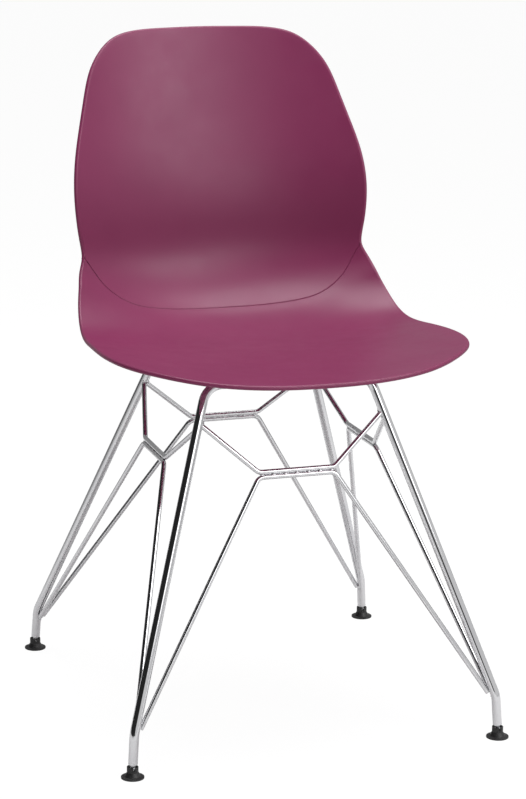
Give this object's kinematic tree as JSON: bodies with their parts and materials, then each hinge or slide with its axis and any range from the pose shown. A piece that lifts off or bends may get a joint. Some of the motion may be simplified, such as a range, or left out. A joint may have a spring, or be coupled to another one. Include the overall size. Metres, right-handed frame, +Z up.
{
  "type": "moulded shell chair",
  "caption": "Moulded one-piece shell dining chair with a dished seat and high curved back on a chromed bent-rod base with tilting glides.",
  "frame": {"origin": "centre of the bounding box, on the floor under the glides", "axes": "+Z up; the chair faces -Y; +X is the sitter's left"},
  "size_m": [0.4794, 0.5118, 0.8004],
  "materials": {
    "shell": "fine grained satin",
    "rod": "polished",
    "tab": "plated",
    "pad": "matte",
    "screw": "zinc plated",
    "insert": "turned",
    "stud": "zinc plated",
    "glide": "moulded nylon"
  },
  "bodies": {
    "root": {"seat_shell": "shell", "front_leg_hoop": "rod", "rear_leg_hoop": "rod", "front_upper_brace": "rod", "front_lower_brace": "rod", "rear_upper_brace": "rod", "rear_lower_brace": "rod", "left_upper_brace": "rod", "left_lower_brace": "rod", "right_upper_brace": "rod", "right_lower_brace": "rod", "front_left_mounting_tab": "tab", "front_right_mounting_tab": "tab", "rear_left_mounting_tab": "tab", "rear_right_mounting_tab": "tab", "front_left_pad": "pad", "front_right_pad": "pad", "rear_left_pad": "pad", "rear_right_pad": "pad", "screw_washers": "screw", "mounting_screws": "screw", "threaded_inserts": "insert"},
    "front_left_stud": {"front_left_ball_stud": "stud"},
    "front_left_foot": {"front_left_glide": "glide"},
    "front_right_stud": {"front_right_ball_stud": "stud"},
    "front_right_foot": {"front_right_glide": "glide"},
    "rear_left_stud": {"rear_left_ball_stud": "stud"},
    "rear_left_foot": {"rear_left_glide": "glide"},
    "rear_right_stud": {"rear_right_ball_stud": "stud"},
    "rear_right_foot": {"rear_right_glide": "glide"}
  },
  "joints": [
    {"name": "front_left_stud_turn", "type": "hinge", "parent": "root", "child": "front_left_stud", "pos_m": [-0.2262, -0.24243, 0.009], "axis": [0.0626, 0.051, 0.9967], "continuous": true},
    {"name": "front_left_glide_tilt", "type": "hinge", "parent": "front_left_stud", "child": "front_left_foot", "pos_m": [-0.2262, -0.24243, 0.009], "axis": [-0.6317, 0.7752, 0], "range_deg": [-8, 8]},
    {"name": "front_right_stud_turn", "type": "hinge", "parent": "root", "child": "front_right_stud", "pos_m": [0.2262, -0.24243, 0.009], "axis": [-0.0626, 0.051, 0.9967], "continuous": true},
    {"name": "front_right_glide_tilt", "type": "hinge", "parent": "front_right_stud", "child": "front_right_foot", "pos_m": [0.2262, -0.24243, 0.009], "axis": [-0.6317, -0.7752, 0], "range_deg": [-8, 8]},
    {"name": "rear_left_stud_turn", "type": "hinge", "parent": "root", "child": "rear_left_stud", "pos_m": [-0.2262, 0.22797, 0.009], "axis": [0.0626, -0.051, 0.9967], "continuous": true},
    {"name": "rear_left_glide_tilt", "type": "hinge", "parent": "rear_left_stud", "child": "rear_left_foot", "pos_m": [-0.2262, 0.22797, 0.009], "axis": [0.6317, 0.7752, 0], "range_deg": [-8, 8]},
    {"name": "rear_right_stud_turn", "type": "hinge", "parent": "root", "child": "rear_right_stud", "pos_m": [0.2262, 0.22797, 0.009], "axis": [-0.0626, -0.051, 0.9967], "continuous": true},
    {"name": "rear_right_glide_tilt", "type": "hinge", "parent": "rear_right_stud", "child": "rear_right_foot", "pos_m": [0.2262, 0.22797, 0.009], "axis": [0.6317, -0.7752, 0], "range_deg": [-8, 8]}
  ]
}
